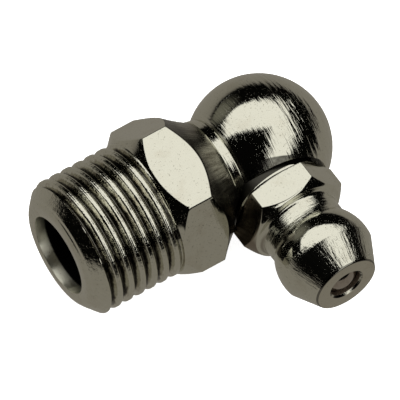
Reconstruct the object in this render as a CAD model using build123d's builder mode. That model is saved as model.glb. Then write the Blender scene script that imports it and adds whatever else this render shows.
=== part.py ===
# Angled ball-check grease nipple: an elbow turned from hexagon bar, with a pipe-thread stem
# and a coned coupler head set square into the side of its ball.
#
# Frame: the stem runs along -X from the origin, which is on its axis where the thread meets
# the hexagon. +Z is up. The nipple lies on one flat of the hexagon, so that its head points
# to -Y and a little upward.

import os
from math import cos, radians, sin, sqrt, tan

from build123d import *

# Stem: 1/8 parallel pipe thread, at its major diameter
thread_diameter = 9.73
thread_length = 6.88
end_chamfer = 1.01

# Grease way: bore from the stem's end, then a drilled passage to the head
bore_diameter = 5.7
bore_reach = 2.0
passage_diameter = 3.2
passage_overrun = 1.5
drill_point_angle = 118.0

# Hexagon bar
hex_across_flats = 10.0
hex_front_chamfer = 0.91
hex_corner_length = 1.78

# Neck and ball
neck_root_diameter = 7.1
neck_hollow_radius = 12.0
ball_diameter = 9.84
ball_station = 9.06

# Hole in the ball for the head, with a countersunk mouth
head_setback = 1.06
head_lift = 11.7
seat_depth = 0.92
mouth_chamfer = 0.7
hole_floor_gap = 0.5
shank_clearance = 0.02

# Head: shank, washer face and hexagon collar
shank_diameter = 6.0
shank_length = 2.3
shank_chamfer = 0.3
collar_across_flats = 6.8
collar_clocking = 9.6
washer_face_step = 0.05
washer_face_thickness = 0.2
collar_rear_chamfer = 0.14
collar_corner_length = 1.38
collar_front_chamfer = 0.6
shoulder_diameter = 6.6

# Head: neck that the coupler grips behind, ball, cone and flat face
shoulder_slope_length = 0.3
grip_neck_length = 1.16
grip_neck_depth = 0.53
head_ball_diameter = 6.76
head_ball_reach = 0.53
cone_length = 2.06
face_diameter = 4.66
face_edge = 0.06

# Check ball and its seat
check_ball_diameter = 3.0
ball_side_gap = 0.15
seat_lap = 0.35
ball_seat_gap = 0.03
ball_setback = 0.02
seat_cone_angle = 90.0
inlet_chamfer = 0.15

# Spring, held in the head by a turned-in lip
spring_wire_diameter = 0.35
spring_side_gap = 0.3
spring_turns = 5.0
spring_end_gap = 0.02
lip_width = 0.55
lip_thickness = 0.5

# Elbow, along X and outward from its axis
thread_radius = thread_diameter / 2
corner_radius = hex_across_flats / sqrt(3)
neck_start = hex_front_chamfer + hex_corner_length
neck_root_radius = neck_root_diameter / 2
ball_radius = ball_diameter / 2
neck_root_station = ball_station - sqrt(ball_radius**2 - neck_root_radius**2)
bore_radius = bore_diameter / 2
passage_radius = passage_diameter / 2

# Head, outward from the stem's axis
head_station = ball_station - head_setback
seat_height = ball_radius - seat_depth
shank_radius = shank_diameter / 2
shank_end = seat_height - shank_length
hole_radius = shank_radius + shank_clearance
hole_floor = shank_end - hole_floor_gap
mouth_radius = hole_radius + mouth_chamfer
relief_top = ball_radius + corner_radius
collar_corner_radius = collar_across_flats / sqrt(3)
washer_face_radius = collar_across_flats / 2 - washer_face_step
collar_base = seat_height + washer_face_thickness
collar_rear_corner = collar_base + collar_rear_chamfer
collar_front_corner = collar_rear_corner + collar_corner_length
shoulder_radius = shoulder_diameter / 2
shoulder_height = collar_front_corner + collar_front_chamfer
grip_neck_start = shoulder_height + shoulder_slope_length
grip_neck_end = grip_neck_start + grip_neck_length
head_ball_radius = head_ball_diameter / 2
grip_neck_radius = head_ball_radius - grip_neck_depth
head_ball_height = grip_neck_end + sqrt(head_ball_radius**2 - grip_neck_radius**2)
cone_base = head_ball_height + head_ball_reach
cone_base_radius = sqrt(head_ball_radius**2 - head_ball_reach**2)
face_height = cone_base + cone_length
face_radius = face_diameter / 2

# Check ball, seat and spring, outward from the stem's axis
check_ball_radius = check_ball_diameter / 2
throat_radius = check_ball_radius - seat_lap
head_bore_radius = check_ball_radius + ball_side_gap
ball_centre_drop = sqrt((check_ball_radius + ball_seat_gap) ** 2 - throat_radius**2)
seat_edge_height = face_height - ball_setback - check_ball_radius + ball_centre_drop
check_ball_height = seat_edge_height - ball_centre_drop
inlet_radius = throat_radius + inlet_chamfer
seat_cone_length = (head_bore_radius - throat_radius) / tan(radians(seat_cone_angle / 2))
lip_top = shank_end + lip_thickness
lip_radius = head_bore_radius - lip_width
wire_radius = spring_wire_diameter / 2
spring_radius = head_bore_radius - spring_side_gap - wire_radius
spring_contact_drop = sqrt((check_ball_radius + wire_radius) ** 2 - spring_radius**2)
spring_start = lip_top + wire_radius + spring_end_gap
spring_length = check_ball_height - spring_contact_drop - spring_end_gap - spring_start

# Head's own frame: its axis, a plane across it and a plane along it
head_origin = Vector(head_station, 0, 0)
head_direction = Vector(0, -cos(radians(head_lift)), sin(radians(head_lift)))
stem_direction = Vector(1, 0, 0)
head_axis = Axis(head_origin, head_direction)
across_head = Plane(origin=head_origin, x_dir=stem_direction, z_dir=head_direction)
along_head = Plane(origin=head_origin, x_dir=stem_direction, z_dir=stem_direction.cross(head_direction))


def drill_point(radius):
    return radius / tan(radians(drill_point_angle / 2))


# Elbow body, all in one piece
with BuildPart() as elbow_body:
    # The bar, turned to a chamfer before the thread and to the hollow neck behind
    with BuildSketch(Plane.YZ):
        RegularPolygon(corner_radius, 6)
    extrude(amount=neck_root_station)
    with BuildSketch(Plane.XZ):
        with BuildLine():
            Polyline(
                (neck_root_station, neck_root_radius),
                (neck_root_station, 0),
                (0, 0),
                (0, thread_radius),
                (hex_front_chamfer, corner_radius),
                (neck_start, corner_radius),
            )
            RadiusArc((neck_start, corner_radius), (neck_root_station, neck_root_radius), -neck_hollow_radius)
        make_face()
    revolve(axis=Axis.X, mode=Mode.INTERSECT)

    # Stem
    with BuildSketch(Plane.YZ):
        Circle(thread_radius)
    extrude(amount=-thread_length)
    chamfer(edges().group_by(Axis.X)[0], length=end_chamfer)

    # Ball
    with BuildSketch(Plane.XZ):
        with Locations((ball_station, 0)):
            Circle(ball_radius)
        split(bisect_by=Plane.XZ)
    revolve(axis=Axis.X)

    # Bore and passage of the grease way
    with BuildSketch(Plane.XZ):
        with BuildLine():
            Polyline(
                (-thread_length, 0),
                (-thread_length, bore_radius),
                (bore_reach, bore_radius),
                (bore_reach + drill_point(bore_radius - passage_radius), passage_radius),
                (head_station + passage_overrun, passage_radius),
                (head_station + passage_overrun + drill_point(passage_radius), 0),
                close=True,
            )
        make_face()
    revolve(axis=Axis.X, mode=Mode.SUBTRACT)

    # Head's hole and its countersunk mouth, which also cuts a little of the neck
    with BuildSketch(along_head):
        with BuildLine():
            Polyline(
                (0, hole_floor - drill_point(hole_radius)),
                (hole_radius, hole_floor),
                (hole_radius, seat_height - mouth_chamfer),
                (mouth_radius, seat_height),
                (mouth_radius, relief_top),
                (0, relief_top),
                close=True,
            )
        make_face()
    revolve(axis=head_axis, mode=Mode.SUBTRACT)

# Coupler head, all in one piece
with BuildPart() as coupler_head:
    # Hexagon collar, turned to a washer face behind and to a chamfered shoulder in front
    with BuildSketch(across_head.offset(seat_height)):
        RegularPolygon(collar_corner_radius, 6, rotation=collar_clocking)
    extrude(amount=shoulder_height - seat_height)
    with BuildSketch(along_head):
        with BuildLine():
            Polyline(
                (0, seat_height),
                (washer_face_radius, seat_height),
                (washer_face_radius, collar_base),
                (collar_corner_radius, collar_rear_corner),
                (collar_corner_radius, collar_front_corner),
                (shoulder_radius, shoulder_height),
                (0, shoulder_height),
                close=True,
            )
        make_face()
    revolve(axis=head_axis, mode=Mode.INTERSECT)

    # Shank
    with BuildSketch(across_head.offset(shank_end)):
        Circle(shank_radius)
    extrude(amount=shank_length)
    chamfer(edges().group_by(head_axis)[0], length=shank_chamfer)

    # Grip neck, and the ball and cone that the coupler's jaws close on
    with BuildSketch(along_head):
        with BuildLine():
            Polyline(
                (grip_neck_radius, grip_neck_end),
                (grip_neck_radius, grip_neck_start),
                (shoulder_radius, shoulder_height),
                (0, shoulder_height),
                (0, face_height),
                (face_radius - face_edge, face_height),
                (face_radius, face_height - face_edge),
                (cone_base_radius, cone_base),
            )
            RadiusArc((cone_base_radius, cone_base), (grip_neck_radius, grip_neck_end), head_ball_radius)
        make_face()
    revolve(axis=head_axis)

    # Inlet, throat, seat cone, bore and the hole through the lip
    with BuildSketch(along_head):
        with BuildLine():
            Polyline(
                (0, shank_end),
                (lip_radius, shank_end),
                (lip_radius, lip_top),
                (head_bore_radius, lip_top),
                (head_bore_radius, seat_edge_height - seat_cone_length),
                (throat_radius, seat_edge_height),
                (throat_radius, face_height - inlet_chamfer),
                (inlet_radius, face_height),
                (0, face_height),
                close=True,
            )
        make_face()
    revolve(axis=head_axis, mode=Mode.SUBTRACT)

# Check ball, just behind its seat
with BuildPart() as check_ball:
    with Locations(across_head.offset(check_ball_height)):
        Sphere(check_ball_radius)

# Spring: a right-hand coil from the lip to the ball, its round wire drawn with six flats
with BuildPart() as check_spring:
    with BuildLine() as coil:
        Helix(
            spring_length / spring_turns,
            spring_length,
            spring_radius,
            center=head_origin + head_direction * spring_start,
            direction=head_direction,
        )
    with BuildSketch(Plane(origin=coil.line @ 0, z_dir=coil.line % 0)):
        RegularPolygon(wire_radius, 6)
    sweep(path=coil.line, is_frenet=True)

elbow_body.part.label = "elbow_body"
coupler_head.part.label = "coupler_head"
check_ball.part.label = "check_ball"
check_spring.part.label = "check_spring"

os.makedirs("parts", exist_ok=True)
export_step(elbow_body.part, "parts/elbow_body.step")
export_step(coupler_head.part, "parts/coupler_head.step")
export_step(check_ball.part, "parts/check_ball.step")
export_step(check_spring.part, "parts/check_spring.step")
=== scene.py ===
import bpy
import bmesh
from math import acos, asin, cos, pi, radians, sin, sqrt, tan
from mathutils import Matrix, Vector
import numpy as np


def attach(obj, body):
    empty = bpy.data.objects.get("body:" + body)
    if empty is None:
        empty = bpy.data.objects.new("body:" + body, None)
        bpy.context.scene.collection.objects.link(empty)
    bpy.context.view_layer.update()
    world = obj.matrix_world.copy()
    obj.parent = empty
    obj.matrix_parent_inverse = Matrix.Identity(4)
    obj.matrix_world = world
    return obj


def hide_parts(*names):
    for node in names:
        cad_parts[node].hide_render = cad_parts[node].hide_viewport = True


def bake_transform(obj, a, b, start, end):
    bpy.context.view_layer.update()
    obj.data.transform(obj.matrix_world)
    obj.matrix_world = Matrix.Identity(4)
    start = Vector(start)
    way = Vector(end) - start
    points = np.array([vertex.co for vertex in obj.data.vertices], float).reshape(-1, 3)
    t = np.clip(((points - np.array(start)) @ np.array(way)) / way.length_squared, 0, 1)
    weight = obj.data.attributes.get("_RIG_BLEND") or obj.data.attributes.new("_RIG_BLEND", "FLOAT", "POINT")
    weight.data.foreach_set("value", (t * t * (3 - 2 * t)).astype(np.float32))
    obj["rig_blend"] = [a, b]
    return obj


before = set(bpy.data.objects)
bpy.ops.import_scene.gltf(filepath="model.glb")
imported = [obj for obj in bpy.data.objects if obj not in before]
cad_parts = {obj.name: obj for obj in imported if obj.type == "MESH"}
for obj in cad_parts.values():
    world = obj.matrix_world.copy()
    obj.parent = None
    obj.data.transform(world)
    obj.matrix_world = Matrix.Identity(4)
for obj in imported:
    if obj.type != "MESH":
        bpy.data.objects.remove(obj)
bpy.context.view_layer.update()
scene = bpy.context.scene
scene.view_settings.view_transform = "Standard"
mm = 0.001
print("frame loaded")

# Camera: long lens, looking down on the nipple
cameraLook = {
    "azimuth": -49.522,
    "elevation": 66.346,
    "roll": 18.574,
    "aim": (4.1505, -0.7762, -1.8564),
    "distance": 800.276,
    "lens": 1080.0,
    "sensorWidth": 36.0,
    "nearest": 10.0,
}


def addCamera(look):
    az, el, roll = radians(look["azimuth"]), radians(look["elevation"]), radians(look["roll"])
    back = Vector((sin(az) * cos(el), -cos(az) * cos(el), sin(el)))
    levelRight = Vector((cos(az), sin(az), 0))
    levelUp = back.cross(levelRight)
    right = cos(roll) * levelRight + sin(roll) * levelUp
    up = back.cross(right)
    data = bpy.data.cameras.new("camera")
    data.lens = look["lens"]
    data.sensor_width = look["sensorWidth"]
    data.clip_start = look["nearest"] * mm
    camera = bpy.data.objects.new("camera", data)
    place = Matrix((right, up, back)).transposed().to_4x4()
    place.translation = (Vector(look["aim"]) + back * look["distance"]) * mm
    camera.matrix_world = place
    scene.collection.objects.link(camera)
    scene.camera = camera


addCamera(cameraLook)
print("camera placed")


# Turned and hexagonal pieces: rings of points round an axis, skinned into one closed shell
def hexRadius(acrossFlats, angle, cornerAngle):
    fromFlat = (angle - cornerAngle) % (pi / 3) - pi / 6
    return acrossFlats / 2 / cos(fromFlat)


def columnAngles(columns):
    return [2 * pi * i / columns for i in range(columns)]


def roundRing(station, radius, columns):
    return [(station, radius)] * columns


def between(a, b, share):
    return a[0] + (b[0] - a[0]) * share, a[1] + (b[1] - a[1]) * share


def ringsBetween(first, last, shares):
    return [[between(a, b, share) for a, b in zip(first, last)] for share in shares]


def sphereRings(centre, radius, startAngle, endAngle, count, columns):
    rings = []
    for i in range(count + 1):
        t = startAngle + (endAngle - startAngle) * i / count
        rings.append(roundRing(centre - radius * cos(t), radius * sin(t), columns))
    return rings


def hollowStation(radius, start, end, arcRadius):
    # Station on a hollow arc that starts and ends at (station, radius)
    chord = Vector(end) - Vector(start)
    outward = Vector((-chord.y, chord.x)).normalized()
    if outward.y < 0:
        outward = -outward
    centre = (Vector(start) + Vector(end)) / 2 + outward * sqrt(arcRadius**2 - (chord.length / 2) ** 2)
    return centre.x - sqrt(arcRadius**2 - (centre.y - radius) ** 2)


def skinRings(bm, rings, axes, loop, softRings, cornerRings, cornerColumns):
    # axes: origin, along, across and up; a ring with a radius of 0 becomes a pole.
    # softRings go all the way round and cornerRings run along the hexagon's corners; both get a bevel.
    origin, along, across, up = axes
    layers = bm.edges.layers.float
    weight = layers.get("bevel_weight_edge") or layers.new("bevel_weight_edge")
    made = []
    for ring in rings:
        if max(r for s, r in ring) == 0:
            made.append([bm.verts.new(origin + along * ring[0][0] * mm)])
            continue
        angles = columnAngles(len(ring))
        made.append([
            bm.verts.new(origin + (along * s + (across * cos(t) + up * sin(t)) * r) * mm)
            for (s, r), t in zip(ring, angles)
        ])
    pairs = list(zip(made, made[1:])) + ([(made[-1], made[0])] if loop else [])
    for a, b in pairs:
        n = max(len(a), len(b))
        for i in range(n):
            j = (i + 1) % n
            corners = [a[i % len(a)], b[i % len(b)], b[j % len(b)], a[j % len(a)]]
            corners = list(dict.fromkeys(corners))
            if len(corners) > 2:
                bm.faces.new(corners)
    for index in softRings:
        ring = made[index]
        for i, vert in enumerate(ring):
            edge = bm.edges.get((vert, ring[(i + 1) % len(ring)]))
            if edge:
                edge[weight] = 1.0
    for first, last in cornerRings:
        for index in range(first, last):
            for i in cornerColumns:
                edge = bm.edges.get((made[index][i], made[index + 1][i]))
                edge[weight] = 1.0
    return made


# Small helpers for pieces and node trees
def linkPiece(name, mesh, material):
    # Clearing puts every face back on the first slot
    mesh.materials.clear()
    mesh.materials.append(material)
    piece = bpy.data.objects.new(name, mesh)
    scene.collection.objects.link(piece)
    return piece


def finishMesh(name, verts, faces, material):
    mesh = bpy.data.meshes.new(name)
    mesh.from_pydata(verts, [], faces)
    return linkPiece(name, mesh, material)


def closedPiece(name, bm, material):
    bmesh.ops.recalc_face_normals(bm, faces=bm.faces)
    print("open edges on", name + ":", sum(not edge.is_manifold for edge in bm.edges))
    mesh = bpy.data.meshes.new(name)
    bm.to_mesh(mesh)
    bm.free()
    return linkPiece(name, mesh, material)


def newMaterial(name):
    material = bpy.data.materials.new(name)
    material.use_nodes = True
    material.node_tree.nodes.clear()
    return material, material.node_tree


def addNode(tree, kind, inputs, **settings):
    # An input is either a socket to link from or a plain value
    node = tree.nodes.new(kind)
    for name, value in settings.items():
        setattr(node, name, value)
    for label, value in inputs.items():
        socket = node.inputs[label]
        if isinstance(value, bpy.types.NodeSocket):
            tree.links.new(value, socket)
        else:
            socket.default_value = (*value, 1) if socket.type == "RGBA" else value
    return node


def mathStep(tree, operation, *values, clamp=False):
    inputs = dict(enumerate(values))
    return addNode(tree, "ShaderNodeMath", inputs, operation=operation, use_clamp=clamp).outputs[0]


def vectorStep(tree, operation, *values):
    node = addNode(tree, "ShaderNodeVectorMath", dict(enumerate(values)), operation=operation)
    return node.outputs["Value"] if operation in ("DOT_PRODUCT", "DISTANCE") else node.outputs["Vector"]


def mixColour(tree, share, first, second):
    inputs = {"Factor": share, "A": first, "B": second}
    return addNode(tree, "ShaderNodeMix", inputs, data_type="RGBA").outputs["Result"]


def coverWith(tree, shader):
    addNode(tree, "ShaderNodeOutputMaterial", {"Surface": shader.outputs[0]})


# Studio: a pale floor, a soft lamp in two panels, a grey card under the part, a dim one behind it
# and dark walls round it all. The cards and walls are seen only as reflections in the metal.
studio = {
    "floorHeight": -5.02,
    "floorReach": 3000.0,
    "floorColour": (0.9, 0.9, 0.9),
    "floorRoughness": 0.9,
    "floorGlow": 0.72,
    "tableReach": 1400.0,
    "tableGap": 0.005,
    "table": {"colour": (0.258, 0.241, 0.21), "centre": (0.0, -60.0, -5.0), "near": 70.0, "far": 230.0},
    "dimCard": (-1350.0, 350.0, 1100.0, 600.0),
    "dim": {"colour": (0.16, 0.155, 0.125), "centre": (-400.0, 1100.0, 230.0), "near": 100.0, "far": 560.0},
    "wallRadius": 1500.0,
    "wallColour": (0.0016, 0.0016, 0.0013),
    "worldColour": (1.0, 1.0, 1.0),
    "lampHeight": 600.0,
    "lampStrength": 1.1,
    "lampColour": (1.0, 0.985, 0.93),
    "lampCorner": (120.0, 15.0),
    "lampTurn": -27.0,
    "wideLamp": (-1250.0, 540.0, 0.0, 820.0),
    "longLamp": (0.0, 540.0, -1350.0, 0.0),
}


def flatCard(name, reach, z, material):
    corners = [(x * reach * mm, y * reach * mm, z * mm) for x, y in ((-1, -1), (1, -1), (1, 1), (-1, 1))]
    card = finishMesh(name, corners, [(0, 1, 2, 3)], material)
    return card


def reflectionOnly(card):
    card.visible_camera = False
    card.visible_diffuse = False
    card.visible_shadow = False
    card.visible_transmission = False
    card.visible_volume_scatter = False


def glowMaterial(name, colour):
    material, tree = newMaterial(name)
    coverWith(tree, addNode(tree, "ShaderNodeEmission", {"Color": colour}))
    return material


def fadedMaterial(name, patch, edge):
    # Glows in the patch's colour near its centre and fades to the edge's
    material, tree = newMaterial(name)
    place = tree.nodes.new("ShaderNodeTexCoord").outputs["Object"]
    away = vectorStep(tree, "DISTANCE", place, [value * mm for value in patch["centre"]])
    reach = {"Value": away, "From Min": patch["near"] * mm, "From Max": patch["far"] * mm}
    fade = addNode(tree, "ShaderNodeMapRange", reach, interpolation_type="SMOOTHSTEP").outputs["Result"]
    glow = addNode(tree, "ShaderNodeEmission", {"Color": mixColour(tree, fade, patch["colour"], edge)})
    coverWith(tree, glow)
    return material


def floorMaterial(look):
    # White to the camera and in reflections, while its own light on the part stays plain
    material, tree = newMaterial("paleFloor")
    ray = tree.nodes.new("ShaderNodeLightPath").outputs
    seen = mathStep(tree, "MAXIMUM", ray["Is Camera Ray"], ray["Is Glossy Ray"])
    seen = mathStep(tree, "MAXIMUM", seen, ray["Is Transmission Ray"])
    coverWith(tree, addNode(tree, "ShaderNodeBsdfPrincipled", {
        "Base Color": look["floorColour"],
        "Roughness": look["floorRoughness"],
        "Specular IOR Level": 0.0,
        "Emission Color": (1.0, 1.0, 1.0),
        "Emission Strength": mathStep(tree, "MULTIPLY", seen, look["floorGlow"]),
    }))
    return material


def addLampPanel(name, x0, x1, y0, y1, look):
    data = bpy.data.lights.new(name, "AREA")
    data.shape = "RECTANGLE"
    data.size = (x1 - x0) * mm
    data.size_y = (y1 - y0) * mm
    data.color = look["lampColour"]
    # An area lamp's radiance is its power over its area and pi
    data.energy = look["lampStrength"] * data.size * data.size_y * pi
    lamp = bpy.data.objects.new(name, data)
    turn = radians(look["lampTurn"])
    x, y = (x0 + x1) / 2, (y0 + y1) / 2
    cornerX, cornerY = look["lampCorner"]
    lamp.location = (
        (cornerX + x * cos(turn) - y * sin(turn)) * mm,
        (cornerY + x * sin(turn) + y * cos(turn)) * mm,
        look["lampHeight"] * mm,
    )
    lamp.rotation_euler = (0, 0, turn)
    lamp.visible_camera = False
    scene.collection.objects.link(lamp)


def buildStudio(look):
    z, edge = look["floorHeight"], look["wallColour"]
    flatCard("floor", look["floorReach"], z, floorMaterial(look))
    grey = fadedMaterial("greyTable", look["table"], edge)
    reflectionOnly(flatCard("greyTable", look["tableReach"], z + look["tableGap"], grey))
    x0, x1, y, top = (value * mm for value in look["dimCard"])
    corners = [(x0, y, 0), (x1, y, 0), (x1, y, top), (x0, y, top)]
    dim = finishMesh("dimCard", corners, [(0, 1, 2, 3)], fadedMaterial("dimCard", look["dim"], edge))
    reflectionOnly(dim)
    addLampPanel("wideLamp", *look["wideLamp"], look)
    addLampPanel("longLamp", *look["longLamp"], look)
    shell = bmesh.new()
    bmesh.ops.create_icosphere(shell, subdivisions=4, radius=look["wallRadius"] * mm)
    walls = closedPiece("darkWalls", shell, glowMaterial("darkWall", edge))
    reflectionOnly(walls)
    world = bpy.data.worlds.new("white")
    world.use_nodes = True
    world.node_tree.nodes["Background"].inputs["Color"].default_value = (*look["worldColour"], 1)
    scene.world = world


buildStudio(studio)
print("studio lit")


# Axes of a turned form: origin, along, across and up.
# The head's axis crosses the stem's and rises a little.
headPlace = {"station": 8.0, "lift": 11.7}
lift = radians(headPlace["lift"])
stemAxes = (Vector((0, 0, 0)), Vector((1, 0, 0)), Vector((0, 1, 0)), Vector((0, 0, 1)))
headAxes = (
    Vector((headPlace["station"] * mm, 0, 0)),
    Vector((0, -cos(lift), sin(lift))),
    Vector((1, 0, 0)),
    Vector((0, sin(lift), cos(lift))),
)


# Shader groups that the finishes share
def newGroup(name, inputs, outputs):
    tree = bpy.data.node_groups.new(name, "ShaderNodeTree")
    for label, kind in inputs:
        tree.interface.new_socket(label, in_out="INPUT", socket_type="NodeSocket" + kind)
    for label, kind in outputs:
        tree.interface.new_socket(label, in_out="OUTPUT", socket_type="NodeSocket" + kind)
    return tree, tree.nodes.new("NodeGroupInput").outputs, tree.nodes.new("NodeGroupOutput").inputs


def useGroup(tree, group, **inputs):
    return addNode(tree, "ShaderNodeGroup", inputs, node_tree=group).outputs


# How rough the streaks and patches are, and how far the streaks slant outwards
noises = {"radiusShare": 0.6, "streakRoughness": 0.6, "patchDetail": 5.0, "patchRoughness": 0.62}


def turnedPlaceGroup():
    # Station along an axis and distance from it in millimetres, and the way round as a unit circle
    inputs = [(label, "Vector") for label in ("Place", "Origin", "Along", "Across", "Up")]
    outputs = [(label, "Float") for label in ("Station", "Radius", "Cosine", "Sine")]
    tree, given, result = newGroup("turnedPlace", inputs, outputs)
    fromOrigin = vectorStep(tree, "SUBTRACT", given["Place"], given["Origin"])
    reach = lambda way: vectorStep(tree, "DOT_PRODUCT", fromOrigin, given[way])
    station, x, y = reach("Along"), reach("Across"), reach("Up")
    square = lambda value: mathStep(tree, "MULTIPLY", value, value)
    radius = mathStep(tree, "SQRT", mathStep(tree, "ADD", square(x), square(y)))
    # A point on the axis itself still gets a direction
    smallestRadius = 0.01 * mm
    divisor = mathStep(tree, "MAXIMUM", radius, smallestRadius)
    tree.links.new(mathStep(tree, "DIVIDE", station, mm), result["Station"])
    tree.links.new(mathStep(tree, "DIVIDE", radius, mm), result["Radius"])
    tree.links.new(mathStep(tree, "DIVIDE", x, divisor), result["Cosine"])
    tree.links.new(mathStep(tree, "DIVIDE", y, divisor), result["Sine"])
    return tree


def streakGroup():
    # Noise drawn out round the axis or along it; Along and Around say how often it changes each way
    labels = ("Station", "Radius", "Cosine", "Sine", "Along", "Around", "Detail")
    inputs = [(label, "Float") for label in labels]
    tree, given, result = newGroup("streaks", inputs, [("Height", "Float")])
    slant = mathStep(tree, "MULTIPLY", given["Radius"], noises["radiusShare"])
    profile = mathStep(tree, "ADD", given["Station"], slant)
    place = addNode(tree, "ShaderNodeCombineXYZ", {
        "X": mathStep(tree, "MULTIPLY", profile, given["Along"]),
        "Y": mathStep(tree, "MULTIPLY", given["Cosine"], given["Around"]),
        "Z": mathStep(tree, "MULTIPLY", given["Sine"], given["Around"]),
    }).outputs[0]
    noise = addNode(tree, "ShaderNodeTexNoise", {
        "Vector": place, "Scale": 1.0, "Detail": given["Detail"], "Roughness": noises["streakRoughness"],
    })
    tree.links.new(noise.outputs["Fac"], result["Height"])
    return tree


def patchGroup():
    # Soft-edged patches: Level moves the edge and Softness widens it
    inputs = [("Place", "Vector"), ("Size", "Float"), ("Level", "Float"), ("Softness", "Float")]
    tree, given, result = newGroup("patches", inputs, [("Mask", "Float")])
    noise = addNode(tree, "ShaderNodeTexNoise", {
        "Vector": given["Place"],
        "Scale": mathStep(tree, "DIVIDE", 1 / mm, given["Size"]),
        "Detail": noises["patchDetail"],
        "Roughness": noises["patchRoughness"],
    })
    over = mathStep(tree, "SUBTRACT", noise.outputs["Fac"], given["Level"])
    tree.links.new(mathStep(tree, "DIVIDE", over, given["Softness"], clamp=True), result["Mask"])
    return tree


def bandGroup():
    # 1 between Low and High, with an edge of Softness outside both
    inputs = [(label, "Float") for label in ("Value", "Low", "High", "Softness")]
    tree, given, result = newGroup("band", inputs, [("Mask", "Float")])
    above = mathStep(tree, "SUBTRACT", given["Value"], given["Low"])
    below = mathStep(tree, "SUBTRACT", given["High"], given["Value"])
    rise = mathStep(tree, "DIVIDE", above, given["Softness"])
    fall = mathStep(tree, "DIVIDE", below, given["Softness"])
    inside = mathStep(tree, "ADD", mathStep(tree, "MINIMUM", rise, fall), 1.0, clamp=True)
    tree.links.new(inside, result["Mask"])
    return tree


turnedPlace, streaks, patches, band = turnedPlaceGroup(), streakGroup(), patchGroup(), bandGroup()


# A finish is a metal with coats over it, written as tables:
#   patches  size, level and softness of the edge
#   marks    how often they change along the axis and round it, and their detail
#   zones    products of bands, each a measure with its low and high ends and the softness outside them
#   coats    colours from the metal up, each with its share
# A share, a roughness or a relief is a sum of products of masks and numbers. Lengths are in millimetres.
def total(tree, found, terms):
    result = None
    for term in terms:
        first, *factors = (found[factor] if isinstance(factor, str) else factor for factor in term)
        for factor in factors:
            first = mathStep(tree, "MULTIPLY", first, factor)
        result = first if result is None else mathStep(tree, "ADD", first, result)
    return result


def turnedMeasures(tree, place, axes):
    origin, along, across, up = axes
    return useGroup(tree, turnedPlace, Place=place, Origin=origin, Along=along, Across=across, Up=up)


def startFinish(name, axes, look):
    material, tree = newMaterial(name)
    coordinates = tree.nodes.new("ShaderNodeTexCoord").outputs
    place = coordinates["Object"]
    turned = turnedMeasures(tree, place, axes)
    found = {"place": place, "facing": coordinates["Normal"]}
    found.update(station=turned["Station"], radius=turned["Radius"])
    for label, (size, level, softness) in look["patches"].items():
        patch = useGroup(tree, patches, Place=place, Size=size, Level=level, Softness=softness)
        found[label] = patch["Mask"]
    way = {label: turned[label] for label in ("Station", "Radius", "Cosine", "Sine")}
    for label, (along, around, detail) in look["marks"].items():
        height = useGroup(tree, streaks, **way, Along=along, Around=around, Detail=detail)["Height"]
        found[label] = mathStep(tree, "SUBTRACT", height, 0.5)
    return material, tree, found


def addZones(tree, found, zones):
    for label, bands in zones.items():
        masks = [
            useGroup(tree, band, Value=found[measure], Low=low, High=high, Softness=softness)["Mask"]
            for measure, low, high, softness in bands
        ]
        found[label] = total(tree, found, [masks])


def endFinish(tree, found, look):
    colour = look["metal"]
    for coat, terms in look["coats"]:
        colour = mixColour(tree, total(tree, found, terms), colour, look[coat])
    bump = addNode(tree, "ShaderNodeBump", {
        "Strength": 1.0, "Distance": mm, "Height": total(tree, found, look["relief"]),
    })
    coverWith(tree, addNode(tree, "ShaderNodeBsdfPrincipled", {
        "Base Color": colour,
        "Roughness": total(tree, found, look["roughness"]),
        "Metallic": 1.0,
        "Normal": bump.outputs[0],
    }))


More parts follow.
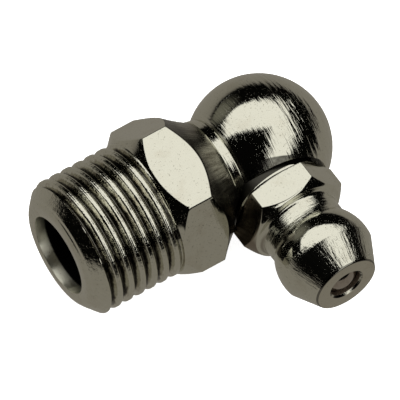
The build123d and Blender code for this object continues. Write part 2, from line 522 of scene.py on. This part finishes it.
# Elbow's nickel: turning marks, chatter and painted shade in the hollow neck, painted shade in the thread's
# roots, at the head hole's mouth and deep in the bore
elbowLook = {
    "metal": (0.675, 0.67, 0.585),
    "stain": (0.46, 0.4, 0.3),
    "dirt": (0.13, 0.11, 0.08),
    # Painted shade for the thread's roots, the chamfer's grooves and the neck beside the hexagon
    "recessShade": (0.025, 0.021, 0.016),
    "threadStain": (0.3, 0.24, 0.17),
    # Painted shade for the hollow neck
    "neckShade": (0.1, 0.088, 0.068),
    # Painted shade for the mouth of the head's hole
    "mouthShade": (0.012, 0.01, 0.007),
    # Painted shade for the inside of the bore
    "boreShade": (0.004, 0.004, 0.004),
    "patches": {
        "stained": (1.6, 0.53, 0.12),
        "speckled": (0.12, 0.62, 0.05),
        "clouded": (0.5, 0.42, 0.3),
        "reachPatches": (1.8, 0.48, 0.16),
        "browned": (0.7, 0.5, 0.15),
        "waves": (1.4, 0.0, 1.0),
    },
    "marks": {
        "turning": (9.0, 1.6, 2.0),
        "ballMarks": (5.0, 1.1, 3.0),
        "ballTipMarks": (4.0, 1.4, 3.0),
        "chatter": (1.2, 26.0, 2.0),
        "threadMarks": (4.0, 9.0, 3.0),
    },
    # depth is measured inwards from this crest, and from the chamfer's slope before the stem's end
    "crestRadius": 4.865,
    "chamferRise": 10.66,
    "zones": {
        "inNeck": [("station", 2.7, 5.1, 0.08), ("lean", 0.2667, 9.0, 0.1667)],
        "nearBar": [("radius", 4.9, 9.0, 0.5)],
        "chattered": [("chatter", 0.2133, 9.0, 0.3333)],
        "onBall": [("station", 5.3, 15.0, 0.2)],
        "onBallTip": [("station", 10.6, 15.0, 2.0)],
        "onStem": [("station", -6.6, -0.1, 0.1), ("radius", 3.9, 9.0, 0.1)],
        "onChamfer": [("station", -9.0, -6.2, 0.3)],
        "onFlank": [("depth", 0.16, 9.0, 0.08)],
        "inBore": [("radius", -1.0, 2.95, 0.02), ("station", -6.08, 11.5, 0.12)],
        "onWall": [("radius", 2.7, 2.95, 0.02), ("station", -9.0, 2.0, 0.1)],
        "atMouth": [("holeRadius", 2.0, 3.64, 0.05), ("holeStation", 2.8, 4.3, 0.2)],
    },
    # Painted shade fills the roots, reaches further up in patches and lies on the chamfer's grooves
    "shadeReach": [("reachPatches", 0.17), ("onChamfer", 0.1), ("depth",)],
    "shadeZones": {"inRoot": [("reach", 0.43, 9.0, 0.09)]},
    "coats": [
        ("stain", [("stained", 0.18), ("clouded", 0.06)]),
        ("dirt", [("speckled", 0.5)]),
        ("threadStain", [("onStem", "onFlank", "browned", 0.45)]),
        # Painted shade in the thread's roots
        ("recessShade", [("onStem", "inRoot", "clouded", 0.2), ("onStem", "inRoot", 0.75)]),
        # Painted shade over the hollow neck, patchy with the chatter
        ("neckShade", [("inNeck", "chattered", 0.4), ("inNeck", 0.6)]),
        # Painted shade in the neck beside the hexagon
        ("recessShade", [("inNeck", "nearBar", 0.75)]),
        # Painted shade in the mouth of the head's hole
        ("mouthShade", [("atMouth", "clouded", 0.25), ("atMouth", 0.7)]),
        # Painted shade deep in the bore
        ("boreShade", [("inBore",)]),
    ],
    "roughness": [
        ("inNeck", 0.18), ("atMouth", 0.1), ("onStem", "inRoot", 0.08), ("onWall", 0.22), ("inBore", 0.2),
        ("stained", 0.05), (0.07,),
    ],
    "relief": [
        ("turning", 0.003),
        ("ballMarks", "onBall", 0.02),
        ("ballTipMarks", "onBallTip", 0.07),
        ("chatter", "inNeck", 0.02),
        ("threadMarks", "onStem", 0.005),
        ("waves", "onStem", 0.11),
        ("speckled", -0.002),
    ],
}


def elbowFinish(look):
    material, tree, found = startFinish("nickelPlating", stemAxes, look)
    # The neck is the only part of its length that leans along the stem
    found["lean"] = vectorStep(tree, "DOT_PRODUCT", found["facing"], stemAxes[1])
    slope = mathStep(tree, "ADD", found["station"], look["chamferRise"])
    crest = mathStep(tree, "MINIMUM", slope, look["crestRadius"])
    found["depth"] = mathStep(tree, "SUBTRACT", crest, found["radius"])
    hole = turnedMeasures(tree, found["place"], headAxes)
    found["holeStation"], found["holeRadius"] = hole["Station"], hole["Radius"]
    addZones(tree, found, look["zones"])
    found["reach"] = total(tree, found, look["shadeReach"])
    addZones(tree, found, look["shadeZones"])
    endFinish(tree, found, look)
    return material


# Head's nickel: turned like the elbow's, with rough marks on the cone, painted shade on the faces turned
# down under the collar, and painted shade on the shank, in the hole's inlet and at the ball's seat
headLook = {
    "metal": (0.675, 0.67, 0.585),
    "stain": (0.46, 0.4, 0.3),
    "dirt": (0.13, 0.11, 0.08),
    # Painted shade for the faces turned down under the collar
    "undersideShade": (0.2, 0.16, 0.12),
    "throatBrown": (0.33, 0.28, 0.23),
    # Painted shade for the shank, the hole's inlet and the ball's seat, and a dark line along the face's rim
    "shadeBlack": (0.02, 0.018, 0.015),
    "patches": {
        "stained": (1.4, 0.53, 0.12),
        "speckled": (0.12, 0.62, 0.05),
        "unevenly": (0.5, 0.45, 0.1),
    },
    "marks": {
        "turning": (9.0, 1.6, 2.0),
        "neckMarks": (6.0, 1.6, 3.0),
        "coneMarks": (1.6, 14.0, 3.0),
    },
    "upright": (0.55, 0, 0.83),
    "zones": {
        "underneath": [("rise", -9.0, -0.25, 0.2), ("station", 0.0, 6.3, 0.5)],
        "onShank": [("station", -1.0, 3.97, 0.03)],
        "onNeck": [("station", 6.5, 7.9, 0.3)],
        "onCone": [("station", 9.7, 11.9, 0.3)],
        "onFace": [("station", 12.17, 13.0, 0.01)],
        "onRim": [("radius", 2.25, 2.36, 0.02), ("station", 12.08, 13.0, 0.02)],
        "onInlet": [("radius", 1.17, 1.29, 0.01), ("station", 12.0, 12.18, 0.01)],
        "inThroat": [("radius", -1.0, 1.16, 0.01), ("station", 9.0, 12.05, 0.02)],
        "atSeat": [("radius", -1.0, 1.16, 0.01), ("station", 9.0, 11.68, 0.05)],
    },
    "coats": [
        ("stain", [("stained", 0.18)]),
        ("dirt", [("speckled", 0.5)]),
        # Painted shade on the faces turned down
        ("undersideShade", [("underneath", 0.9)]),
        ("stain", [("onFace", 0.3)]),
        ("throatBrown", [("inThroat",)]),
        # Painted shade on the shank under the collar, in the hole's inlet and at the ball's seat, and a dark
        # line painted along the face's rim
        ("shadeBlack", [
            ("onShank", 0.93), ("onRim", 0.7), ("onInlet", "unevenly", 0.9), ("onInlet", 0.1),
            ("atSeat", 0.95),
        ]),
    ],
    "roughness": [
        ("stained", 0.06), ("onNeck", 0.04), ("onCone", 0.06), ("inThroat", 0.3), ("onShank", 0.3), (0.07,),
    ],
    "relief": [
        ("turning", 0.003),
        ("neckMarks", "onNeck", 0.03),
        ("coneMarks", "onCone", 0.04),
        ("speckled", -0.002),
    ],
}


def headFinish(look):
    material, tree, found = startFinish("headPlating", headAxes, look)
    found["rise"] = vectorStep(tree, "DOT_PRODUCT", found["facing"], look["upright"])
    addZones(tree, found, look["zones"])
    endFinish(tree, found, look)
    return material


# Plain steel of the ball and the spring
ballLook = {
    "metal": (0.46, 0.41, 0.36),
    "stain": (0.26, 0.21, 0.17),
    "patches": {"stained": (0.7, 0.5, 0.15)},
    "marks": {"turning": (6.0, 6.0, 2.0)},
    "coats": [("stain", [("stained", 0.5)])],
    "roughness": [("stained", 0.08), (0.08,)],
    "relief": [("turning", 0.001)],
}
springLook = dict(
    ballLook,
    metal=(0.45, 0.44, 0.42),
    stain=(0.28, 0.26, 0.23),
    roughness=[("stained", 0.08), (0.25,)],
    relief=[("turning", 0.002)],
)


def steelFinish(name, look):
    material, tree, found = startFinish(name, headAxes, look)
    endFinish(tree, found, look)
    return material


plating = elbowFinish(elbowLook)
headPlating = headFinish(headLook)
ballSteel = steelFinish("ballSteel", ballLook)
springSteel = steelFinish("springSteel", springLook)
print("finishes mixed")


# Pipe thread of the stem, cut along a helix
thread = {
    "Major Radius": 4.865 * mm,
    "Depth": 0.56 * mm,
    "Pitch": 0.907 * mm,
    "Crest Width": 0.2 * mm,
    "Crest Roundness": 1.5,
    "Root Width": 0.06 * mm,
    "Seam Width": 0.1 * mm,
    "Seam Depth": 0.012 * mm,
    "Stem Length": 6.88 * mm,
    "End Chamfer": 1.01 * mm,
    "End Round": 0.35 * mm,
    "Shoulder Fade": 0.35 * mm,
    "Shoulder Depth": 0.4,
    "Merge Distance": 0.0005 * mm,
    "Start Turn": 0.0,
    "Rings Per Turn": 27,
    "Columns": 144,
}


def threadTree():
    tree = bpy.data.node_groups.new("pipeThread", "GeometryNodeTree")
    face = tree.interface
    face.new_socket("Geometry", in_out="INPUT", socket_type="NodeSocketGeometry")
    for name, value in thread.items():
        kind = "NodeSocketInt" if isinstance(value, int) else "NodeSocketFloat"
        face.new_socket(name, in_out="INPUT", socket_type=kind)
    face.new_socket("Material", in_out="INPUT", socket_type="NodeSocketMaterial")
    face.new_socket("Geometry", in_out="OUTPUT", socket_type="NodeSocketGeometry")
    nodes = tree.nodes
    given = nodes.new("NodeGroupInput").outputs
    step = lambda operation, *values, **more: mathStep(tree, operation, *values, **more)
    ringStep = step("DIVIDE", given["Pitch"], given["Rings Per Turn"])
    reach = step("ADD", given["Stem Length"], given["Pitch"])
    spareRings = 2.0
    ringCount = step("ADD", step("CEIL", step("DIVIDE", reach, ringStep)), spareRings)
    grid = addNode(tree, "GeometryNodeMeshGrid", {
        "Size X": 1.0, "Size Y": 1.0,
        "Vertices X": step("ADD", ringCount, 1.0), "Vertices Y": step("ADD", given["Columns"], 1.0),
    }).outputs["Mesh"]
    position = nodes.new("GeometryNodeInputPosition").outputs[0]
    flat = addNode(tree, "ShaderNodeSeparateXYZ", {0: position}).outputs
    along = step("ADD", flat["X"], 0.5)
    turn = step("ADD", flat["Y"], 0.5)
    # The rings lean with the helix, so that crest and root run along them
    lean = step("MULTIPLY", turn, given["Pitch"])
    spread = step("MULTIPLY", along, step("MULTIPLY", ringCount, ringStep))
    rawStation = step("SUBTRACT", step("ADD", spread, lean), reach)
    end = step("MULTIPLY", given["Stem Length"], -1.0)
    station = step("MINIMUM", step("MAXIMUM", rawStation, end), 0.0)
    wave = step("ADD", step("DIVIDE", step("SUBTRACT", station, lean), given["Pitch"]), given["Start Turn"])
    fromRoot = step("ABSOLUTE", step("SUBTRACT", step("FRACT", wave), 0.5))
    fromCrest = step("MULTIPLY", step("SUBTRACT", 0.5, fromRoot), given["Pitch"])
    # Each flank falls from the crest's flat to the root's, slowly at first, and is shallow at the shoulder
    flats = step("ADD", given["Crest Width"], given["Root Width"])
    flank = step("MULTIPLY", step("SUBTRACT", given["Pitch"], flats), 0.5)
    pastCrest = step("SUBTRACT", fromCrest, step("MULTIPLY", given["Crest Width"], 0.5))
    down = step("POWER", step("DIVIDE", pastCrest, flank, clamp=True), given["Crest Roundness"])
    fade = step("DIVIDE", step("MULTIPLY", station, -1.0), given["Shoulder Fade"], clamp=True)
    gain = step("MULTIPLY", fade, step("SUBTRACT", 1.0, given["Shoulder Depth"]))
    fullDepth = step("MULTIPLY", given["Depth"], step("ADD", gain, given["Shoulder Depth"]))
    depth = step("MULTIPLY", fullDepth, down)
    # A rolled crest keeps a fine seam along its middle
    halfSeam = step("MULTIPLY", given["Seam Width"], 0.5)
    inSeam = step("SUBTRACT", 1.0, step("DIVIDE", fromCrest, halfSeam), clamp=True)
    depth = step("ADD", depth, step("MULTIPLY", inSeam, given["Seam Depth"]))
    # The end is a rounded chamfer that the grooves run out on
    fromEnd = step("ADD", station, given["Stem Length"])
    twiceRound = step("MULTIPLY", given["End Round"], 2.0)
    bend = step("SQRT", step("MULTIPLY", fromEnd, step("ADD", fromEnd, twiceRound)))
    turnedOff = step("ADD", given["End Chamfer"], given["End Round"])
    faceRadius = step("SUBTRACT", given["Major Radius"], turnedOff)
    outline = step("MINIMUM", given["Major Radius"], step("ADD", faceRadius, bend))
    threadRadius = step("MINIMUM", outline, step("SUBTRACT", given["Major Radius"], depth))
    # Rings past the shoulder close up on it
    pastShoulder = step("GREATER_THAN", rawStation, ringStep)
    closing = step("MULTIPLY", step("SUBTRACT", given["Major Radius"], threadRadius), pastShoulder)
    radius = step("ADD", threadRadius, closing)
    angle = step("MULTIPLY", turn, 2 * pi)
    place = addNode(tree, "ShaderNodeCombineXYZ", {
        "X": station,
        "Y": step("MULTIPLY", radius, step("COSINE", angle)),
        "Z": step("MULTIPLY", radius, step("SINE", angle)),
    }).outputs[0]
    moved = addNode(tree, "GeometryNodeSetPosition", {"Geometry": grid, "Position": place}).outputs[0]
    closed = {"Geometry": moved, "Distance": given["Merge Distance"]}
    merged = addNode(tree, "GeometryNodeMergeByDistance", closed).outputs[0]
    real = addNode(tree, "GeometryNodeRealizeInstances", {"Geometry": merged}).outputs[0]
    painted = {"Geometry": real, "Material": given["Material"]}
    paint = addNode(tree, "GeometryNodeSetMaterial", painted).outputs[0]
    addNode(tree, "NodeGroupOutput", {"Geometry": paint})
    return tree


def bakedMesh(piece, name):
    # The piece's mesh with its modifiers worked in
    mesh = bpy.data.meshes.new_from_object(piece.evaluated_get(bpy.context.evaluated_depsgraph_get()))
    mesh.name = name
    return mesh


def threadMesh(material):
    host = finishMesh("threadHost", [(0, 0, 0)], [], material)
    tree = threadTree()
    cutting = host.modifiers.new("thread", "NODES")
    cutting.node_group = tree
    values = dict(thread, Material=material)
    for item in tree.interface.items_tree:
        if item.item_type == "SOCKET" and item.in_out == "INPUT" and item.name in values:
            cutting[item.identifier] = values[item.name]
    mesh = bakedMesh(host, "threadMesh")
    bpy.data.objects.remove(host)
    return mesh


# Elbow: hexagon, hollow neck, ball, and the bore and passage inside
elbow = {
    "stemLength": 6.88,
    "endChamfer": 1.01,
    "endRound": 0.35,
    "threadRadius": 4.865,
    "boreRadius": 2.85,
    "boreReach": 2.0,
    "passageRadius": 1.6,
    "passageEnd": 9.5,
    "drillPoint": 118.0,
    "acrossFlats": 10.0,
    "frontChamfer": 0.91,
    "cornerLength": 1.78,
    "neckEnd": 5.14,
    "neckRoot": 3.77,
    "landEdge": 0.03,
    "landStart": 5.21,
    "landEnd": 5.88,
    "landRadius": 3.8,
    "landTaper": 0.14,
    "neckHollow": 12.0,
    "ballRadius": 4.92,
    "ballStation": 9.06,
    "ballOverlap": 0.06,
    "edgeSoftness": 0.05,
    "weldDistance": 0.001,
    "smoothAngle": 34.0,
    "chamferShares": (0.5, 1.0),
    "flatShares": (0.15, 0.4, 0.6, 0.85, 1.0),
    "neckShares": (0.12, 0.3, 0.5, 0.7, 0.85, 1.0),
    "ballRings": 54,
    "columns": 144,
}


def drillPoint(radius):
    return radius / tan(radians(elbow["drillPoint"] / 2))


def elbowRings(look):
    columns = look["columns"]
    ring = lambda station, radius: roundRing(station, radius, columns)
    cornerRadius = look["acrossFlats"] / sqrt(3)
    flats = [hexRadius(look["acrossFlats"], t, 0) for t in columnAngles(columns)]
    stemRadius = look["threadRadius"]
    rise = look["frontChamfer"] / (cornerRadius - stemRadius)
    neckStart = look["frontChamfer"] + look["cornerLength"]
    ballStart = acos((look["ballStation"] - look["landEnd"] - look["ballOverlap"]) / look["ballRadius"])
    neckRoot, neckEnd = look["neckRoot"], look["neckEnd"]
    hollow = lambda r: hollowStation(r, (neckStart, cornerRadius), (neckEnd, neckRoot), look["neckHollow"])
    shoulder = ring(0, stemRadius)
    front = [((r - stemRadius) * rise, r) for r in flats]
    back = [(hollow(r), r) for r in flats]
    rings = [shoulder] + ringsBetween(shoulder, front, look["chamferShares"])
    frontIndex = len(rings) - 1
    rings += ringsBetween(front, back, look["flatShares"])
    backIndex = len(rings) - 1
    for share in look["neckShares"]:
        radii = [r + (neckRoot - r) * share for r in flats]
        rings.append([(hollow(r), r) for r in radii])
    # A short land, turned to a slight taper, joins the neck to the ball
    landRadius, taper = look["landRadius"], look["landTaper"]
    rings += [
        ring(neckEnd + look["landEdge"], neckRoot - look["landEdge"]),
        ring(look["landStart"], landRadius),
        ring((neckEnd + look["landEnd"]) / 2, landRadius - taper / 2),
        ring(look["landEnd"], landRadius - taper),
    ]
    rings += sphereRings(look["ballStation"], look["ballRadius"], ballStart, pi, look["ballRings"], columns)
    # Inside, from the passage's tip back to the end face
    boreRadius, passageRadius, stemEnd = look["boreRadius"], look["passageRadius"], -look["stemLength"]
    inside = [
        ring(look["passageEnd"] + drillPoint(passageRadius), 0),
        ring(look["passageEnd"], passageRadius),
        ring(look["boreReach"] + drillPoint(boreRadius - passageRadius), passageRadius),
        ring(look["boreReach"], boreRadius),
        ring(0, boreRadius),
        ring(stemEnd / 2, boreRadius),
        ring(stemEnd, boreRadius),
        ring(stemEnd, stemRadius - look["endChamfer"] - look["endRound"]),
    ]
    return rings, frontIndex, backIndex, inside


def workIn(piece):
    mesh = bakedMesh(piece, piece.name)
    piece.modifiers.clear()
    piece.data = mesh


def bevelled(piece, width):
    soften = piece.modifiers.new("softEdges", "BEVEL")
    soften.limit_method = "WEIGHT"
    soften.width = width * mm
    soften.segments = 2
    workIn(piece)


def smoothed(piece, angle):
    piece.data.shade_smooth()
    piece.data.set_sharp_from_angle(angle=radians(angle))


# Hole for the head: drilled, countersunk and relieved outwards as far as the hexagon
headHole = {
    "floor": 1.2,
    "radius": 3.02,
    "mouthStart": 3.3,
    "mouthStation": 4.0,
    "mouthRadius": 3.72,
    "reliefEnd": 12.0,
    "columns": 96,
}


def cutHeadHole(piece, look, material):
    ring = lambda station, radius: roundRing(station, radius, look["columns"])
    rings = [
        ring(look["floor"] - drillPoint(look["radius"]), 0),
        ring(look["floor"], look["radius"]),
        ring(look["mouthStart"], look["radius"]),
        ring(look["mouthStation"], look["mouthRadius"]),
        ring(look["reliefEnd"], look["mouthRadius"]),
        ring(look["reliefEnd"], 0),
    ]
    bm = bmesh.new()
    skinRings(bm, rings, headAxes, False, (), (), ())
    drill = closedPiece("headHole", bm, material)
    cut = piece.modifiers.new("headHole", "BOOLEAN")
    cut.operation = "DIFFERENCE"
    cut.solver = "MANIFOLD"
    cut.object = drill
    workIn(piece)
    bpy.data.objects.remove(drill)


def buildElbow(look, material):
    rings, frontIndex, backIndex, inside = elbowRings(look)
    corners = [i * look["columns"] // 6 for i in range(6)]
    boreEdge = len(inside) - 2
    bm = bmesh.new()
    skinRings(bm, rings, stemAxes, False, (frontIndex, backIndex), ((frontIndex, backIndex),), corners)
    skinRings(bm, inside, stemAxes, False, (boreEdge,), (), ())
    bm.from_mesh(threadMesh(material))
    bmesh.ops.remove_doubles(bm, verts=bm.verts, dist=look["weldDistance"] * mm)
    piece = closedPiece("elbowTurned", bm, material)
    bevelled(piece, look["edgeSoftness"])
    cutHeadHole(piece, headHole, material)
    smoothed(piece, look["smoothAngle"])
    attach(piece, "nipple")
    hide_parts("elbow_body")
    return piece


elbowPiece = buildElbow(elbow, plating)
print("elbow built:", len(elbowPiece.data.polygons), "faces")


# Coupler head: shank, collar, grip groove, ball, cone and the bore through it
head = {
    "shankEnd": 1.7,
    "shankRadius": 3.0,
    "shankChamfer": 0.3,
    "lipRadius": 1.1,
    "lipTop": 2.2,
    "boreRadius": 1.65,
    "seat": 4.0,
    "washerRadius": 3.35,
    "washerTop": 4.16,
    "undercut": 0.22,
    "undercutStart": 4.18,
    "undercutEnd": 4.26,
    "acrossFlats": 6.8,
    "rearCorner": 4.4,
    "frontCorner": 5.72,
    "shoulder": 6.32,
    "shoulderRadius": 3.3,
    "neckStart": 6.62,
    "neckEnd": 7.78,
    "neckRadius": 2.85,
    "ballStation": 9.597,
    "ballRadius": 3.38,
    "coneBase": 10.127,
    "faceStation": 12.187,
    "faceRadius": 2.33,
    "faceEdge": 0.13,
    "faceSpread": 0.02,
    "edgeAngles": (45.0, 65.0),
    "edgeInset": 0.7,
    "flatInset": 0.75,
    "inletRadius": 1.3,
    "throatRadius": 1.15,
    "seatEdge": 11.676,
    "seatCone": 11.176,
    "edgeSoftness": 0.04,
    "smoothAngle": 34.0,
    "clocking": 9.6,
    "flatShares": (0.2, 0.5, 0.8, 1.0),
    "chamferShares": (0.5, 1.0),
    "coneShares": (0.1, 0.5, 0.9, 1.0),
    "hollowRings": 6,
    "ballRings": 18,
    "columns": 96,
}


def headRings(look):
    columns = look["columns"]
    ring = lambda station, radius: roundRing(station, radius, columns)
    flats = [hexRadius(look["acrossFlats"], t, 0) for t in columnAngles(columns)]
    corner = look["acrossFlats"] / sqrt(3)
    shankEnd, shankRadius, shankChamfer = look["shankEnd"], look["shankRadius"], look["shankChamfer"]
    washerTop, washerRadius = look["washerTop"], look["washerRadius"]
    shoulder, shoulderRadius = look["shoulder"], look["shoulderRadius"]
    rearRise = (look["rearCorner"] - washerTop) / (corner - washerRadius)
    frontRise = (shoulder - look["frontCorner"]) / (corner - shoulderRadius)
    rear = [(washerTop + (r - washerRadius) * rearRise, r) for r in flats]
    front = [(look["frontCorner"] + (corner - r) * frontRise, r) for r in flats]
    rings = [
        ring(shankEnd, look["lipRadius"]),
        ring(shankEnd, shankRadius - shankChamfer),
        ring(shankEnd + shankChamfer, shankRadius),
        ring(look["seat"], shankRadius),
        ring(look["seat"], washerRadius),
        ring(washerTop, washerRadius),
    ]
    washerIndex = len(rings) - 1
    rings += [
        ring(look["undercutStart"], washerRadius - look["undercut"]),
        ring(look["undercutEnd"], washerRadius - look["undercut"]),
        rear,
    ]
    rearIndex = len(rings) - 1
    rings += ringsBetween(rear, front, look["flatShares"])
    frontIndex = len(rings) - 1
    rings += ringsBetween(front, ring(shoulder, shoulderRadius), look["chamferShares"])
    shoulderIndex = len(rings) - 1
    # Hollow from the shoulder down to the neck
    deep = shoulderRadius - look["neckRadius"]
    long = look["neckStart"] - shoulder
    for i in range(look["hollowRings"]):
        t = (i + 1) / look["hollowRings"] * pi / 2
        rings.append(ring(shoulder + long * (1 - cos(t)), shoulderRadius - deep * sin(t)))
    rings.append(ring((look["neckStart"] + look["neckEnd"]) / 2, look["neckRadius"]))
    first = asin(look["neckRadius"] / look["ballRadius"])
    last = pi - acos((look["coneBase"] - look["ballStation"]) / look["ballRadius"])
    rings += sphereRings(look["ballStation"], look["ballRadius"], first, last, look["ballRings"], columns)
    coneIndex = len(rings) - 1
    face, faceRadius, edge = look["faceStation"], look["faceRadius"], look["faceEdge"]
    rings += ringsBetween(rings[-1], ring(face - edge, faceRadius + look["faceSpread"]), look["coneShares"])
    # Edge of the face, rounded in steps from the cone's slope to flat
    for t in map(radians, look["edgeAngles"]):
        rings.append(ring(face - edge * (1 - sin(t)), faceRadius - edge * (1 - cos(t)) * look["edgeInset"]))
    rings += [
        ring(face, faceRadius - edge * look["flatInset"]),
        ring(face, look["inletRadius"]),
        ring(face - (look["inletRadius"] - look["throatRadius"]), look["throatRadius"]),
        ring(look["seatEdge"], look["throatRadius"]),
        ring(look["seatCone"], look["boreRadius"]),
        ring(look["lipTop"], look["boreRadius"]),
        ring(look["lipTop"], look["lipRadius"]),
    ]
    return rings, (washerIndex, rearIndex, frontIndex, shoulderIndex, coneIndex), (rearIndex, frontIndex)


def turnedAxes(axes, angle):
    origin, along, across, up = axes
    c, s = cos(radians(angle)), sin(radians(angle))
    return origin, along, across * c + up * s, up * c - across * s


def buildHead(look, material):
    rings, softRings, flatRings = headRings(look)
    corners = [i * look["columns"] // 6 for i in range(6)]
    bm = bmesh.new()
    skinRings(bm, rings, turnedAxes(headAxes, look["clocking"]), True, softRings, (flatRings,), corners)
    piece = closedPiece("couplerHead", bm, material)
    bevelled(piece, look["edgeSoftness"])
    smoothed(piece, look["smoothAngle"])
    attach(piece, "nipple")
    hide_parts("coupler_head")
    return piece


headPiece = buildHead(head, headPlating)
print("head built:", len(headPiece.data.polygons), "faces")

# The check ball is the CAD's own
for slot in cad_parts["check_ball"].material_slots:
    slot.material = ballSteel
print("check ball finished")


# Spring behind the ball, which closes up as the ball is pushed in
spring = {
    "start": 2.395,
    "length": 7.058,
    "radius": 1.175,
    "wireRadius": 0.172,
    "turns": 5.0,
    "followingShare": 0.9,
    "smoothAngle": 50.0,
    "stepsPerTurn": 40,
    "sides": 12,
}


def buildSpring(look, material):
    origin, along, across, up = headAxes
    start, length, radius, sides = look["start"], look["length"], look["radius"], look["sides"]
    wholeTurn = 2 * pi * look["turns"]
    steps = int(look["turns"] * look["stepsPerTurn"])
    rise = length / wholeTurn
    points = []
    for i in range(steps + 1):
        t = wholeTurn * i / steps
        outward = across * cos(t) + up * sin(t)
        forward = (up * cos(t) - across * sin(t)) * radius + along * rise
        side = forward.normalized().cross(outward)
        centre = along * (start + rise * t) + outward * radius
        for angle in columnAngles(sides):
            wire = (outward * cos(angle) + side * sin(angle)) * look["wireRadius"]
            points.append(origin + (centre + wire) * mm)
    bm = bmesh.new()
    verts = [bm.verts.new(point) for point in points]
    bm.faces.new(verts[:sides])
    bm.faces.new(verts[-sides:])
    for i in range(steps):
        for k in range(sides):
            a, b = i * sides + k, i * sides + (k + 1) % sides
            bm.faces.new([verts[a], verts[b], verts[b + sides], verts[a + sides]])
    piece = closedPiece("checkSpring", bm, material)
    smoothed(piece, look["smoothAngle"])
    # Its foot stays on the lip and its last turns go with the ball
    foot = origin + along * start * mm
    head = origin + along * (start + length * look["followingShare"]) * mm
    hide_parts("check_spring")
    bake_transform(piece, "nipple", "valve_ball", start=foot, end=head)
    return piece


springPiece = buildSpring(spring, springSteel)
print("spring built:", len(springPiece.data.polygons), "faces")
